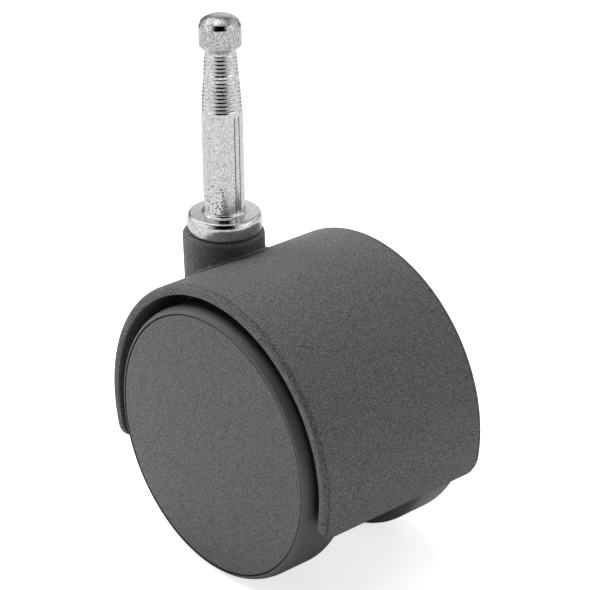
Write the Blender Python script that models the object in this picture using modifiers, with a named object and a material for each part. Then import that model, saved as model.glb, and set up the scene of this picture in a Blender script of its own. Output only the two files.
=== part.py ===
"""Hooded twin-wheel furniture caster on a plated grip-neck stem.

Metres, +Z up along the stem, the axle runs along Y, and +X points from the stem towards the axle.
The origin is on the stem's axis, in the plane of the flange's top face, where the chair leg rests.
Right is the -Y side and left is the +Y side.
"""
import math

import bmesh
import bpy
from mathutils import Matrix, Vector

MM = 0.001

# Fits
TOUCH_GAP = 0.3 * MM
CLOSE_GAP = 0.15 * MM
RUNNING_GAP = 0.1 * MM

# Layout: the axle's place below and in front of the stem
AXLE_X = 18.7 * MM
AXLE_DROP = 34.4 * MM
AXLE_RADIUS = 3.0 * MM
AXLE_HALF_LENGTH = 18.0 * MM
AXLE_CHAMFER = 0.4 * MM

# Wheel, its planes measured outwards from the caster's middle plane
WHEEL_FACE = 20.2 * MM
WHEEL_INNER = 8.2 * MM
CROWN_RADIUS = 26.35 * MM
CROWN_PLANE = 13.2 * MM
SHOULDER_RADIUS = 25.5 * MM
SHOULDER_ROUND = 0.4 * MM
INNER_ROUND = 3.3 * MM
CAP_RADIUS = 24.85 * MM
CAP_THICKNESS = 1.75 * MM
CAP_ROUND = 0.25 * MM
CAP_SKIRT_DEPTH = 1.4 * MM
CAP_SKIRT_WALL = 1.1 * MM
CORE_RADIUS = 22.6 * MM
RIM_WALL = 1.6 * MM
RIM_TOP = 18.0 * MM
DISC_TOP = 16.6 * MM
DISC_THICKNESS = 1.6 * MM
HUB_RADIUS = 6.2 * MM
SPOKE_COUNT = 8
SPOKE_THICKNESS = 1.6 * MM
MID_RING_RADIUS = 13.5 * MM
MID_RING_HALF_WALL = 0.8 * MM
WASHER_THICKNESS = 0.8 * MM
PUSH_NUT_RADIUS = 6.0 * MM
PUSH_NUT_THICKNESS = 0.5 * MM
PUSH_NUT_RISE = 0.5 * MM

# Hood
HOOD_RADIUS = 30.05 * MM
HOOD_WALL = 1.9 * MM
HOOD_HALF_WIDTH = 19.13 * MM
HOOD_EDGE_ROUND = 0.85 * MM
HOOD_INNER_CHAMFER = 0.3 * MM
HOOD_CORNER_ROUND = 3.0 * MM
HOOD_FRONT_DEG = -15.5
HOOD_REAR_DEG = 200.0
WEB_HALF_WIDTH = 6.6 * MM
WEB_SETBACK_DEG = 2.0
WEB_WALL = 1.9 * MM
WEB_RIB = 1.4 * MM
FRONT_POCKETS = 3
REAR_POCKETS = 2
AXLE_TUBE_RADIUS = 5.6 * MM
AXLE_TUBE_HALF_LENGTH = 7.0 * MM

# Stem boss and what turns in it
BOSS_RADIUS = 7.45 * MM
BOSS_ROUND = 1.2 * MM
BOSS_BORE_RADIUS = 6.05 * MM
BOSS_FLOOR = 2.0 * MM
SLEEVE_BOTTOM = -27.0 * MM
SWIVEL_WASHER_THICKNESS = 0.8 * MM
PIN_RADIUS = 4.0 * MM
PIN_BOTTOM = -26.0 * MM
CLIP_PLANE = -23.2 * MM
CLIP_WIRE_RADIUS = 0.45 * MM
CLIP_OPENING_DEG = 60.0
CLIP_GROOVE_HALF_WIDTH = 0.6 * MM
CLIP_GROOVE_RADIUS = 3.4 * MM
SLEEVE_GROOVE_HALF_WIDTH = 0.9 * MM
SLEEVE_GROOVE_RADIUS = 5.0 * MM

# Stem above the boss
FLANGE_RADIUS = 7.0 * MM
FLANGE_EDGE_RADIUS = 6.35 * MM
FLANGE_THICKNESS = 3.4 * MM
FLANGE_SQUARENESS = 4
SHANK_RADIUS = 3.84 * MM
SHANK_FILLET = 0.6 * MM
SHANK_TOP = 20.1 * MM
NECK_TOP = 31.35 * MM
NECK_RADIUS = 2.92 * MM
HEAD_RADIUS = 3.91 * MM
HEAD_BOTTOM = 32.35 * MM
HEAD_RIM = 36.35 * MM
STEM_TOP = 38.0 * MM
DOME_SQUARENESS = 6
DOME_SOFTNESS = 0.8

# Facets round a full turn
WHEEL_STEPS = 64
SMALL_STEPS = 32
STEM_STEPS = 40
HOOD_STEPS = 90

# Facets along an outline
FINE_EDGE_STEPS = 2
EDGE_STEPS = 3
ROUND_STEPS = 4
CROWN_STEPS = 5
CORNER_STEPS = 5
DOME_STEPS = 5
POCKET_STEPS = 2
FLANGE_SIDE_STEPS = 6
CLIP_STEPS = 24
WEB_STEPS = 36

MERGE_DISTANCE = 0.00001
SHARP_DEG = 35
AXLE_CENTRE = Vector((AXLE_X, 0, -AXLE_DROP))
SIDES = {"right": -1, "left": 1}

STEEL = ((0.72, 0.72, 0.70), 0.28, 1.0)
SPRING_STEEL = ((0.45, 0.45, 0.46), 0.35, 1.0)
HOOD_NYLON = ((0.112, 0.112, 0.112), 0.55, 0.0)
WHEEL_NYLON = ((0.125, 0.125, 0.125), 0.55, 0.0)
TREAD_POLYMER = ((0.105, 0.102, 0.100), 0.6, 0.0)
BUSH_PLASTIC = ((0.55, 0.54, 0.50), 0.45, 0.0)


def clear_scene():
    """Removes every object of the start-up scene."""
    for item in list(bpy.data.objects):
        bpy.data.objects.remove(item, do_unlink=True)


def new_collection(name):
    """A collection linked to the scene."""
    collection = bpy.data.collections.new(name)
    bpy.context.scene.collection.children.link(collection)
    return collection


def finish(item, look):
    """Gives a sub-part its own material."""
    colour, roughness, metallic = look
    material = bpy.data.materials.new(item.name)
    material.use_nodes = True
    shader = material.node_tree.nodes["Principled BSDF"]
    shader.inputs["Base Color"].default_value = (*colour, 1.0)
    shader.inputs["Roughness"].default_value = roughness
    shader.inputs["Metallic"].default_value = metallic
    item.data.materials.append(material)
    return item


def arc(centre, radius, start_deg, end_deg, steps):
    """Points on a circular arc, both ends included."""
    points = []
    for step in range(steps + 1):
        angle = math.radians(start_deg + (end_deg - start_deg) * step / steps)
        points.append((centre[0] + radius * math.cos(angle), centre[1] + radius * math.sin(angle)))
    return points


def turned(collection, name, outline, steps):
    """A turned solid about local Z. The outline of (radius, height) runs down the outer side.

    An outline that starts and ends on the axis stays open, and any other is closed.
    """
    mesh = bpy.data.meshes.new(name)
    points = [(radius, 0, height) for radius, height in outline]
    edges = [(index, index + 1) for index in range(len(points) - 1)]
    if outline[0][0] > 0:
        edges.append((len(points) - 1, 0))
    mesh.from_pydata(points, edges, [])
    item = bpy.data.objects.new(name, mesh)
    collection.objects.link(item)
    screw = item.modifiers.new("Turn", "SCREW")
    screw.steps = steps
    screw.render_steps = steps
    screw.use_merge_vertices = True
    screw.merge_threshold = MERGE_DISTANCE
    return item


def baked(item, name):
    """The item's evaluated shape as a plain mesh object with its origin at the world's."""
    bpy.context.view_layer.update()
    depsgraph = bpy.context.evaluated_depsgraph_get()
    mesh = bpy.data.meshes.new_from_object(item.evaluated_get(depsgraph))
    mesh.transform(item.matrix_world)
    shape = bmesh.new()
    shape.from_mesh(mesh)
    bmesh.ops.remove_doubles(shape, verts=shape.verts, dist=MERGE_DISTANCE)
    shape.to_mesh(mesh)
    shape.free()
    mesh.name = name
    result = bpy.data.objects.new(name, mesh)
    for collection in item.users_collection:
        collection.objects.link(result)
    bpy.data.objects.remove(item, do_unlink=True)
    return result


def plate(collection, name, outlines, half_thickness, matrix):
    """Flat outlines in local XY, thickened both ways along local Z, as one mesh."""
    curve = bpy.data.curves.new(name + "_outline", "CURVE")
    curve.dimensions = "2D"
    curve.fill_mode = "BOTH"
    curve.extrude = half_thickness
    for outline in outlines:
        spline = curve.splines.new("POLY")
        spline.points.add(len(outline) - 1)
        for point, place in zip(spline.points, outline):
            point.co = (*place, 0, 1)
        spline.use_cyclic_u = True
    item = bpy.data.objects.new(name + "_curve", curve)
    item.matrix_world = matrix
    collection.objects.link(item)
    return baked(item, name)


def guide(item):
    """Marks an object that only cuts or joins."""
    item.hide_render = True
    item.display_type = "WIRE"
    return item


def combine(item, tool, operation):
    """Adds a live Boolean of the tool to the item."""
    modifier = item.modifiers.new(tool.name, "BOOLEAN")
    modifier.operation = operation
    modifier.object = guide(tool)


def side_matrix(side):
    """Places a turned piece on the axle with its local +Z pointing out of that side."""
    return Matrix.Translation(AXLE_CENTRE) @ Matrix.Rotation(-SIDES[side] * math.pi / 2, 4, "X")


def side_view_matrix():
    """Places an outline drawn in (x, z) about the axle's centre."""
    return Matrix.Translation(AXLE_CENTRE) @ Matrix.Rotation(math.pi / 2, 4, "X")


def crown_radius(height):
    """The tread's radius at a plane: a parabola from the crown down to the shoulder."""
    reach = (height - CROWN_PLANE) / (WHEEL_FACE - SHOULDER_ROUND - CROWN_PLANE)
    return CROWN_RADIUS - (CROWN_RADIUS - SHOULDER_RADIUS) * reach ** 2


def make_tread(parts, side):
    """The crowned ring round the core, with a thin lip round the cap."""
    shoulder_plane = WHEEL_FACE - SHOULDER_ROUND
    inner_plane = WHEEL_INNER + INNER_ROUND
    inner_centre = (crown_radius(inner_plane) - INNER_ROUND, inner_plane)
    seat_radius = CORE_RADIUS + TOUCH_GAP
    lip_radius = CAP_RADIUS + CLOSE_GAP
    lip_bottom = WHEEL_FACE - CAP_THICKNESS - CLOSE_GAP
    outline = arc((SHOULDER_RADIUS - SHOULDER_ROUND, shoulder_plane), SHOULDER_ROUND, 90, 0, FINE_EDGE_STEPS)
    for step in range(1, CROWN_STEPS):
        height = shoulder_plane + (inner_plane - shoulder_plane) * step / CROWN_STEPS
        outline.append((crown_radius(height), height))
    outline += arc(inner_centre, INNER_ROUND, 0, -90, ROUND_STEPS)
    outline += [(seat_radius, WHEEL_INNER), (seat_radius, lip_bottom)]
    outline += [(lip_radius, lip_bottom), (lip_radius, WHEEL_FACE)]
    item = turned(parts, side + "_wheel_tread", outline, WHEEL_STEPS)
    item.matrix_world = side_matrix(side)
    return finish(item, TREAD_POLYMER)


def make_cap(parts, side):
    """The flat disc that closes the wheel, with a skirt that plugs into the core's rim."""
    underside = WHEEL_FACE - CAP_THICKNESS
    skirt_outer = CORE_RADIUS - RIM_WALL - TOUCH_GAP
    skirt_inner = skirt_outer - CAP_SKIRT_WALL
    skirt_bottom = underside - CAP_SKIRT_DEPTH
    outline = [(0, WHEEL_FACE)]
    edge_centre = (CAP_RADIUS - CAP_ROUND, WHEEL_FACE - CAP_ROUND)
    outline += arc(edge_centre, CAP_ROUND, 90, 0, FINE_EDGE_STEPS)
    outline += [(CAP_RADIUS, underside), (skirt_outer, underside), (skirt_outer, skirt_bottom)]
    outline += [(skirt_inner, skirt_bottom), (skirt_inner, underside), (0, underside)]
    item = turned(parts, side + "_wheel_cap", outline, WHEEL_STEPS)
    item.matrix_world = side_matrix(side)
    return finish(item, WHEEL_NYLON)


def pocket(inner, outer, middle_deg, steps):
    """The outline of one hollow between two spokes, whose sides run parallel to the spokes."""
    half_spoke = SPOKE_THICKNESS / 2
    half_sector = 180 / SPOKE_COUNT
    outline = []
    for radius, direction in ((inner, 1), (outer, -1)):
        reach = half_sector - math.degrees(math.asin(half_spoke / radius))
        ends = (middle_deg + direction * reach, middle_deg - direction * reach)
        outline += arc((0, 0), radius, ends[0], ends[1], steps)
    return outline


def make_core(parts, tools, side):
    """Hub, disc, spokes and rim of one wheel, hollow towards the caster's middle."""
    bore = AXLE_RADIUS + RUNNING_GAP
    inner_plane = WHEEL_INNER + CLOSE_GAP
    rim_inner = CORE_RADIUS - RIM_WALL
    outline = [(CORE_RADIUS, RIM_TOP), (CORE_RADIUS, inner_plane), (bore, inner_plane)]
    outline += [(bore, DISC_TOP), (rim_inner, DISC_TOP), (rim_inner, RIM_TOP)]
    item = turned(parts, side + "_wheel_core", outline, WHEEL_STEPS)
    item.matrix_world = side_matrix(side)
    hollows = []
    for index in range(SPOKE_COUNT):
        middle = 360 * index / SPOKE_COUNT
        inner_ring = MID_RING_RADIUS - MID_RING_HALF_WALL
        hollows.append(pocket(HUB_RADIUS, inner_ring, middle, POCKET_STEPS))
        outer_ring = MID_RING_RADIUS + MID_RING_HALF_WALL
        hollows.append(pocket(outer_ring, rim_inner, middle, 2 * POCKET_STEPS))
    floor = DISC_TOP - DISC_THICKNESS
    half_depth = (floor - inner_plane + TOUCH_GAP) / 2
    middle_plane = Matrix.Translation((0, 0, floor - half_depth))
    cutter = plate(tools, side + "_core_pockets", hollows, half_depth, side_matrix(side) @ middle_plane)
    combine(item, cutter, "DIFFERENCE")
    return finish(item, WHEEL_NYLON)


def make_hub_washer(parts, side):
    """The thrust washer between the hood's axle tube and the hub."""
    bottom = AXLE_TUBE_HALF_LENGTH + TOUCH_GAP
    top = bottom + WASHER_THICKNESS
    bore = AXLE_RADIUS + TOUCH_GAP
    outline = [(HUB_RADIUS, top), (HUB_RADIUS, bottom), (bore, bottom), (bore, top)]
    item = turned(parts, side + "_hub_washer", outline, SMALL_STEPS)
    item.matrix_world = side_matrix(side)
    return finish(item, BUSH_PLASTIC)


def make_push_nut(parts, side):
    """The dished steel ring that grips the axle's end and keeps the wheel on."""
    bottom = DISC_TOP + TOUCH_GAP
    top = bottom + PUSH_NUT_THICKNESS
    bore = AXLE_RADIUS + TOUCH_GAP
    outline = [(bore, top + PUSH_NUT_RISE), (PUSH_NUT_RADIUS, top)]
    outline += [(PUSH_NUT_RADIUS, bottom), (bore, bottom + PUSH_NUT_RISE)]
    item = turned(parts, side + "_push_nut", outline, SMALL_STEPS)
    item.matrix_world = side_matrix(side)
    return finish(item, SPRING_STEEL)


def make_axle(parts):
    """The plain steel axle through the hood and both hubs."""
    end = AXLE_HALF_LENGTH
    narrow = AXLE_RADIUS - AXLE_CHAMFER
    outline = [(0, end), (narrow, end), (AXLE_RADIUS, end - AXLE_CHAMFER)]
    outline += [(AXLE_RADIUS, AXLE_CHAMFER - end), (narrow, -end), (0, -end)]
    item = turned(parts, "axle", outline, SMALL_STEPS)
    item.matrix_world = side_matrix("left")
    return finish(item, STEEL)


def make_shell(parts):
    """The full ring that the hood's shell is cut from."""
    edge = HOOD_HALF_WIDTH - HOOD_EDGE_ROUND
    corner = HOOD_RADIUS - HOOD_EDGE_ROUND
    inner = HOOD_RADIUS - HOOD_WALL
    chamfer = HOOD_INNER_CHAMFER
    outline = arc((corner, edge), HOOD_EDGE_ROUND, 90, 0, EDGE_STEPS)
    outline += arc((corner, -edge), HOOD_EDGE_ROUND, 0, -90, EDGE_STEPS)
    outline += [(inner + chamfer, -HOOD_HALF_WIDTH), (inner, chamfer - HOOD_HALF_WIDTH)]
    outline += [(inner, HOOD_HALF_WIDTH - chamfer), (inner + chamfer, HOOD_HALF_WIDTH)]
    ring = turned(parts, "hood_ring", outline, HOOD_STEPS)
    ring.matrix_world = side_matrix("left")
    return baked(ring, "hood")


def open_below(tools):
    """The wedge below the hood, from its front lower edge round to its rear lower edge."""
    reach = 2 * HOOD_RADIUS
    front = math.radians(HOOD_FRONT_DEG)
    rear = math.radians(HOOD_REAR_DEG)
    outline = [(0, 0), (reach * math.cos(rear), reach * math.sin(rear)), (-reach, -reach)]
    outline += [(reach, -reach), (reach * math.cos(front), reach * math.sin(front))]
    return plate(tools, "open_below", [outline], HOOD_RADIUS, side_view_matrix())


def corner_tool(tools, end_name, angle_deg, turn, side):
    """What rounds one lower corner of the shell, seen along the radius through that corner."""
    angle = math.radians(angle_deg)
    outwards = Vector((math.cos(angle), 0, math.sin(angle)))
    along = Vector((-math.sin(angle), 0, math.cos(angle))) * turn
    across = Vector((0, -SIDES[side], 0))
    if along.cross(across).dot(outwards) < 0:
        along, across = across, along
    centre = AXLE_CENTRE + outwards * (HOOD_RADIUS - HOOD_WALL / 2)
    centre += Vector((0, SIDES[side] * HOOD_HALF_WIDTH, 0))
    matrix = Matrix.Translation(centre) @ Matrix((along, across, outwards)).transposed().to_4x4()
    spare = -HOOD_EDGE_ROUND
    radius = HOOD_CORNER_ROUND
    outline = [(spare, spare), (radius, spare)]
    outline += arc((radius, radius), radius, -90, -180, CORNER_STEPS)
    outline += [(spare, radius)]
    return plate(tools, f"{end_name}_{side}_corner", [outline], HOOD_WALL, matrix)


def web_body(tools):
    """The thick middle wall that joins the shell, the stem boss and the axle tube."""
    front = HOOD_FRONT_DEG + WEB_SETBACK_DEG
    rear = HOOD_REAR_DEG - WEB_SETBACK_DEG
    rim = HOOD_RADIUS - HOOD_WALL / 2
    outline = arc((0, 0), rim, front, rear, WEB_STEPS)
    outline += [(-AXLE_TUBE_RADIUS, -AXLE_TUBE_RADIUS), (AXLE_TUBE_RADIUS, -AXLE_TUBE_RADIUS)]
    return plate(tools, "web_body", [outline], WEB_HALF_WIDTH, side_view_matrix())


def web_pockets(tools):
    """What hollows the web from below: a row in front of the axle, one behind it, a row under the boss."""
    roof_radius = HOOD_RADIUS - HOOD_WALL - WEB_WALL
    tube_side = AXLE_TUBE_RADIUS + WEB_RIB
    boss_front = BOSS_RADIUS - AXLE_X + WEB_RIB
    boss_underside = AXLE_DROP + SLEEVE_BOTTOM - TOUCH_GAP - 2 * BOSS_FLOOR
    spans = pocket_row(tube_side, roof_radius - WEB_WALL, FRONT_POCKETS)
    spans.append((boss_front, -tube_side))
    tops = [math.sqrt(roof_radius ** 2 - max(abs(start), abs(end)) ** 2) for start, end in spans]
    rear_row = pocket_row(-BOSS_RADIUS - AXLE_X, boss_front - WEB_RIB, REAR_POCKETS)
    spans += rear_row
    tops += [boss_underside] * len(rear_row)
    shape = bmesh.new()
    for (start, end), top in zip(spans, tops):
        size = (end - start, 2 * (WEB_HALF_WIDTH - WEB_WALL), top + HOOD_RADIUS)
        place = AXLE_CENTRE + Vector(((start + end) / 2, 0, (top - HOOD_RADIUS) / 2))
        matrix = Matrix.Translation(place) @ Matrix.Diagonal((*size, 1.0))
        bmesh.ops.create_cube(shape, size=1.0, matrix=matrix)
    mesh = bpy.data.meshes.new("web_pockets")
    shape.to_mesh(mesh)
    shape.free()
    item = bpy.data.objects.new("web_pockets", mesh)
    tools.objects.link(item)
    return item


def pocket_row(start, end, count):
    """Equal spans between start and end with a rib between each two."""
    width = (end - start - (count - 1) * WEB_RIB) / count
    firsts = [start + index * (width + WEB_RIB) for index in range(count)]
    return [(first, first + width) for first in firsts]


def axle_tube(tools):
    """The tube round the axle, between the wheels."""
    outline = [(0, AXLE_TUBE_HALF_LENGTH), (AXLE_TUBE_RADIUS, AXLE_TUBE_HALF_LENGTH)]
    outline += [(AXLE_TUBE_RADIUS, -AXLE_TUBE_HALF_LENGTH), (0, -AXLE_TUBE_HALF_LENGTH)]
    tube = turned(tools, "axle_tube_turned", outline, SMALL_STEPS)
    tube.matrix_world = side_matrix("left")
    return baked(tube, "axle_tube")


def axle_bore(tools):
    """What drills the axle tube."""
    radius = AXLE_RADIUS + CLOSE_GAP
    reach = 2 * AXLE_TUBE_HALF_LENGTH
    outline = [(0, reach), (radius, reach), (radius, -reach), (0, -reach)]
    drill = turned(tools, "axle_drill", outline, SMALL_STEPS)
    drill.matrix_world = side_matrix("left")
    return baked(drill, "axle_bore")


def boss_top():
    """The height of the boss's top face, just under the stem's flange."""
    return -FLANGE_THICKNESS - TOUCH_GAP


def boss(tools):
    """The stem boss, from under the flange down between the wheels."""
    top = boss_top()
    bottom = SLEEVE_BOTTOM - TOUCH_GAP - BOSS_FLOOR
    outline = [(0, top)]
    outline += arc((BOSS_RADIUS - BOSS_ROUND, top - BOSS_ROUND), BOSS_ROUND, 90, 0, ROUND_STEPS)
    outline += [(BOSS_RADIUS, bottom), (0, bottom)]
    return baked(turned(tools, "boss_turned", outline, STEM_STEPS), "boss")


def boss_bore(tools):
    """What bores the boss from above, down to its floor."""
    top = boss_top() + BOSS_ROUND
    bottom = SLEEVE_BOTTOM - TOUCH_GAP
    outline = [(0, top), (BOSS_BORE_RADIUS, top), (BOSS_BORE_RADIUS, bottom), (0, bottom)]
    return baked(turned(tools, "boss_drill", outline, STEM_STEPS), "boss_bore")


def make_hood(parts, tools):
    """Shell, web, stem boss and axle tube, one moulding."""
    hood = make_shell(parts)
    combine(hood, open_below(tools), "DIFFERENCE")
    for side in SIDES:
        combine(hood, corner_tool(tools, "front", HOOD_FRONT_DEG, 1, side), "DIFFERENCE")
        combine(hood, corner_tool(tools, "rear", HOOD_REAR_DEG, -1, side), "DIFFERENCE")
    combine(hood, web_body(tools), "UNION")
    combine(hood, axle_tube(tools), "UNION")
    combine(hood, boss(tools), "UNION")
    combine(hood, web_pockets(tools), "DIFFERENCE")
    combine(hood, boss_bore(tools), "DIFFERENCE")
    combine(hood, axle_bore(tools), "DIFFERENCE")
    hood.data.shade_smooth()
    hood.data.set_sharp_from_angle(angle=math.radians(SHARP_DEG))
    return finish(hood, HOOD_NYLON)


def make_sleeve(parts):
    """The sleeve pressed into the boss, with an inside groove for the stem's snap ring."""
    outer = BOSS_BORE_RADIUS - CLOSE_GAP
    inner = PIN_RADIUS + RUNNING_GAP
    top = boss_top() - SWIVEL_WASHER_THICKNESS - TOUCH_GAP
    groove_bottom = CLIP_PLANE - SLEEVE_GROOVE_HALF_WIDTH
    groove_top = CLIP_PLANE + SLEEVE_GROOVE_HALF_WIDTH
    outline = [(outer, top), (outer, SLEEVE_BOTTOM), (inner, SLEEVE_BOTTOM), (inner, groove_bottom)]
    outline += [(SLEEVE_GROOVE_RADIUS, groove_bottom), (SLEEVE_GROOVE_RADIUS, groove_top)]
    outline += [(inner, groove_top), (inner, top)]
    return finish(turned(parts, "stem_sleeve", outline, STEM_STEPS), BUSH_PLASTIC)


def make_swivel_washer(parts):
    """The thrust washer that the flange turns on."""
    top = boss_top()
    bottom = top - SWIVEL_WASHER_THICKNESS
    outer = BOSS_BORE_RADIUS - TOUCH_GAP
    inner = PIN_RADIUS + CLOSE_GAP
    outline = [(outer, top), (outer, bottom), (inner, bottom), (inner, top)]
    return finish(turned(parts, "swivel_washer", outline, STEM_STEPS), SPRING_STEEL)


def stem_head():
    """Outline of the button head: a low dome, a straight side and a bevel into the neck."""
    dome = STEM_TOP - HEAD_RIM
    outline = [(0, STEM_TOP)]
    for step in range(1, DOME_STEPS):
        reach = math.sqrt(step / DOME_STEPS)
        rise = (1 - reach ** DOME_SQUARENESS) ** DOME_SOFTNESS
        outline.append((HEAD_RADIUS * reach, HEAD_RIM + dome * rise))
    outline += [(HEAD_RADIUS, HEAD_RIM), (HEAD_RADIUS, HEAD_BOTTOM)]
    return outline


def stem_flange():
    """Outline of the flange: a flat seat and a slightly barrel-shaped side."""
    outline = arc((SHANK_RADIUS + SHANK_FILLET, SHANK_FILLET), SHANK_FILLET, 180, 270, EDGE_STEPS)
    depth = FLANGE_RADIUS - FLANGE_EDGE_RADIUS
    half = FLANGE_THICKNESS / 2
    for step in range(FLANGE_SIDE_STEPS + 1):
        reach = 2 * step / FLANGE_SIDE_STEPS - 1
        bulge = math.sqrt(1 - reach ** FLANGE_SQUARENESS)
        outline.append((FLANGE_EDGE_RADIUS + depth * bulge, -half - half * reach))
    return outline


def make_stem(parts):
    """The turned steel stem, from its button head down to the pin's end in the boss."""
    groove_top = CLIP_PLANE + CLIP_GROOVE_HALF_WIDTH
    groove_bottom = CLIP_PLANE - CLIP_GROOVE_HALF_WIDTH
    chamfer = AXLE_CHAMFER
    outline = stem_head()
    outline += [(NECK_RADIUS, NECK_TOP), (SHANK_RADIUS, SHANK_TOP)]
    outline += stem_flange()
    outline += [(PIN_RADIUS, -FLANGE_THICKNESS), (PIN_RADIUS, groove_top)]
    outline += [(CLIP_GROOVE_RADIUS, groove_top), (CLIP_GROOVE_RADIUS, groove_bottom)]
    outline += [(PIN_RADIUS, groove_bottom), (PIN_RADIUS, PIN_BOTTOM + chamfer)]
    outline += [(PIN_RADIUS - chamfer, PIN_BOTTOM), (0, PIN_BOTTOM)]
    return finish(turned(parts, "stem", outline, STEM_STEPS), STEEL)


def make_clip(parts):
    """The open snap ring of round wire in the stem's groove."""
    radius = CLIP_GROOVE_RADIUS + CLOSE_GAP + CLIP_WIRE_RADIUS
    half_opening = CLIP_OPENING_DEG / 2
    curve = bpy.data.curves.new("stem_clip", "CURVE")
    curve.dimensions = "3D"
    curve.bevel_depth = CLIP_WIRE_RADIUS
    curve.bevel_resolution = 2
    curve.use_fill_caps = True
    path = arc((0, 0), radius, half_opening, 360 - half_opening, CLIP_STEPS)
    spline = curve.splines.new("POLY")
    spline.points.add(len(path) - 1)
    for point, place in zip(spline.points, path):
        point.co = (*place, CLIP_PLANE, 1)
    item = bpy.data.objects.new("stem_clip", curve)
    parts.objects.link(item)
    return finish(item, SPRING_STEEL)


def main():
    """Builds the whole caster."""
    clear_scene()
    parts = new_collection("chair_caster_wheel")
    tools = new_collection("cutters")
    make_stem(parts)
    make_clip(parts)
    make_hood(parts, tools)
    make_sleeve(parts)
    make_swivel_washer(parts)
    make_axle(parts)
    for side in SIDES:
        make_core(parts, tools, side)
        make_tread(parts, side)
        make_cap(parts, side)
        make_hub_washer(parts, side)
        make_push_nut(parts, side)


main()
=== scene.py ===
"""Looks for a hooded twin-wheel caster on a plated grip-neck stem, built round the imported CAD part.

Metres, +Z up along the stem, the axle along Y, +X from the stem towards the axle, right is -Y.
"""
import math

import bmesh
import bpy
from mathutils import Matrix, Vector


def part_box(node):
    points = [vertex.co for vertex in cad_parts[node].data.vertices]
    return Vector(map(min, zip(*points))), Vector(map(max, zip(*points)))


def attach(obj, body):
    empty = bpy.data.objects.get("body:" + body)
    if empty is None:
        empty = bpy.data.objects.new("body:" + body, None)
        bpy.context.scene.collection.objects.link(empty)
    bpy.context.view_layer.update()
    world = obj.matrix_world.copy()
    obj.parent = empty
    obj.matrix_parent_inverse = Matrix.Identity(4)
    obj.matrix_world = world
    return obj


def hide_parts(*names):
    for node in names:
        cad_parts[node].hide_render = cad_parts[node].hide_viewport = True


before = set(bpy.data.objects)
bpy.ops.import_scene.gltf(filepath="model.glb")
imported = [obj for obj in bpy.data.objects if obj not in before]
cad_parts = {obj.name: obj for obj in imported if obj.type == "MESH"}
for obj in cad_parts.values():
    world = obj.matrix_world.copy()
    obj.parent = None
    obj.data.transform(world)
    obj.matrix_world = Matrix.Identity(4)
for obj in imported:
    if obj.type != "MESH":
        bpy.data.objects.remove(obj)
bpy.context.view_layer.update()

MM = 0.001
SIDES = {"right": -1, "left": 1}


def mid(low, high):
    """The middle of a box."""
    return (low + high) / 2


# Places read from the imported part
AXLE = mid(*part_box("axle"))
HOOD_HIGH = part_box("hood")[1]
STEM_LOW, STEM_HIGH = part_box("stem")
HOOD_RADIUS = HOOD_HIGH.x - AXLE.x
HOOD_HALF_WIDTH = HOOD_HIGH.y
FLANGE_RADIUS = STEM_HIGH.x
STEM_TOP = STEM_HIGH.z
PIN_BOTTOM = STEM_LOW.z
WHEEL_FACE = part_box("left_wheel_cap")[1].y
WHEEL_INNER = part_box("left_wheel_tread")[0].y
CORE_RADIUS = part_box("left_wheel_core")[1].z - AXLE.z

# Hood
HOOD_WALL = 1.9 * MM
HOOD_EDGE_ROUND = 0.8 * MM
HOOD_INNER_ROUND = 0.3 * MM
HOOD_END_ROUND = 0.6 * MM
HOOD_CORNER_ROUND = 3.0 * MM
HOOD_FRONT_DEG = -15.5
HOOD_REAR_DEG = 200.0
HOOD_STEP_DEG = 1.5
HOOD_END_STEPS = 14
WIDTH_STEPS = 34
LIP_STEPS = 5
INNER_LIP_STEPS = 2

# Web, tubes and boss inside the hood
WEB_HALF_WIDTH = 6.6 * MM
WEB_SETBACK_DEG = 2.0
WEB_WALL = 1.9 * MM
WEB_RIB = 1.4 * MM
WEB_EMBED = 0.6 * MM
WEB_BEVEL = 0.2 * MM
WEB_STEPS = 96
FRONT_POCKETS = 3
REAR_POCKETS = 2
AXLE_TUBE_RADIUS = 5.6 * MM
AXLE_TUBE_HALF_LENGTH = 7.0 * MM
AXLE_BORE_RADIUS = 3.15 * MM
BOSS_RADIUS = 7.65 * MM
BOSS_TOP = -3.7 * MM
BOSS_ROUND = 0.9 * MM
BOSS_LEAN = 0.45 * MM
BOSS_ROUND_STEPS = 6
BOSS_BORE_RADIUS = 6.05 * MM
BOSS_BORE_BOTTOM = -27.3 * MM
BOSS_BOTTOM = -29.3 * MM
BOSS_FLOOR = 2.0 * MM
BOSS_RIM_DEPTH = 4.0 * MM
BOSS_FILLET = 0.6 * MM
BOSS_FILLET_STEPS = 8
BOSS_SINK = 0.04 * MM
BOSS_STEPS = 96

# Stem
SHANK_RADIUS = 3.84 * MM
SHANK_TOP = 20.1 * MM
SHANK_BLEND = 1.3 * MM
SHANK_FILLET = 0.6 * MM
NECK_TOP = 31.35 * MM
NECK_RADIUS = 2.92 * MM
RING_PITCH = 0.70 * MM
RING_DEPTH = 0.17 * MM
RING_SAMPLES = 10
RING_BOTTOM = 20.0 * MM
RING_WORN = 26.7 * MM
RING_WORN_REACH = 1.2 * RING_PITCH
RING_WORN_SHARE = 0.75
NECK_RUN_OUT = 3 * SHANK_BLEND
HEAD_RADIUS = 3.91 * MM
HEAD_BOTTOM = 32.35 * MM
HEAD_RIM = 36.05 * MM
HEAD_EDGE_ROUND = 0.12 * MM
HEAD_EDGE_END_DEG = -50
DOME_SHOULDER_RADIUS = 3.52 * MM
DOME_SHOULDER = 36.87 * MM
DOME_POWER = 3.0
EDGE_SUPPORT = 0.06 * MM
DOME_STEPS = 24
FLANGE_FLAT_RADIUS = 6.3 * MM
FLANGE_TOP_ROUND = 1.4 * MM
FLANGE_FOOT = -3.65 * MM
FLANGE_FOOT_RADIUS = 6.5 * MM
FLANGE_STEPS = 14
PIN_RADIUS = 4.0 * MM
PIN_CHAMFER = 0.4 * MM
STEM_STEPS = 128

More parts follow.
